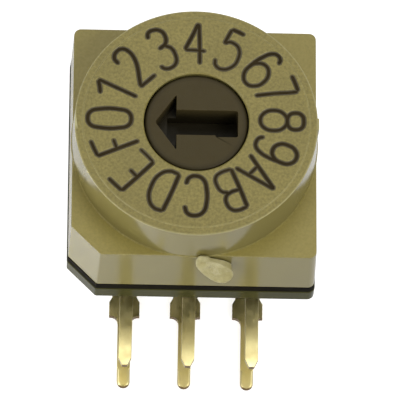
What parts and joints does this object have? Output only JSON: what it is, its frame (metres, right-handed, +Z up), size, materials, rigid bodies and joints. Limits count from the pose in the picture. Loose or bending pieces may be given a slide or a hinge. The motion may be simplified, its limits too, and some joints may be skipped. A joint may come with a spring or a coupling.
{
  "type": "rotary dip switch",
  "caption": "Right-angle rotary code switch: square housing, round dial collar with hex positions, arrow-slot rotor, and two rows of leads bent to one side.",
  "frame": {"origin": "middle of the box that the whole switch fills, at its lowest point, which is the undersides of the rear row of leads", "axes": "+Z is up along the dial's axis, out of the dial; -Y is the way the leads point; +X is to the right seen from the leads' side"},
  "size_m": [0.01, 0.0126, 0.01],
  "materials": {
    "housing_plastic": "moulded, faintly glossy, grey olive",
    "base_plastic": "moulded, dark grey green",
    "rotor_plastic": "moulded, dark brown",
    "seal_rubber": "black",
    "seal_resin": "cast resin, black",
    "lead_metal": "plated, pale gold",
    "contact_metal": "spring bronze, gilt",
    "spring_steel": "plain",
    "disc_metal": "stamped, gilt"
  },
  "bodies": {
    "body": {"housing": "housing_plastic", "base": "base_plastic", "gasket": "seal_rubber", "front_lead_seal": "seal_resin", "rear_lead_seal": "seal_resin", "front_detent_spring": "spring_steel", "rear_detent_spring": "spring_steel", "front_lead_left": "lead_metal", "front_lead_centre": "lead_metal", "front_lead_right": "lead_metal", "rear_lead_left": "lead_metal", "rear_lead_centre": "lead_metal", "rear_lead_right": "lead_metal", "front_contact_left": "contact_metal", "front_contact_centre": "contact_metal", "front_contact_right": "contact_metal", "rear_contact_left": "contact_metal", "rear_contact_centre": "contact_metal", "rear_contact_right": "contact_metal"},
    "dial": {"rotor": "rotor_plastic", "o_ring": "seal_rubber", "code_disc": "disc_metal"}
  },
  "joints": [
    {"name": "dial_turn", "type": "hinge", "parent": "body", "child": "dial", "pos_m": [0, 0.00131, 0.00991], "axis": [0, 0, 1], "continuous": true, "deforming": ["front_detent_spring", "rear_detent_spring"]}
  ]
}
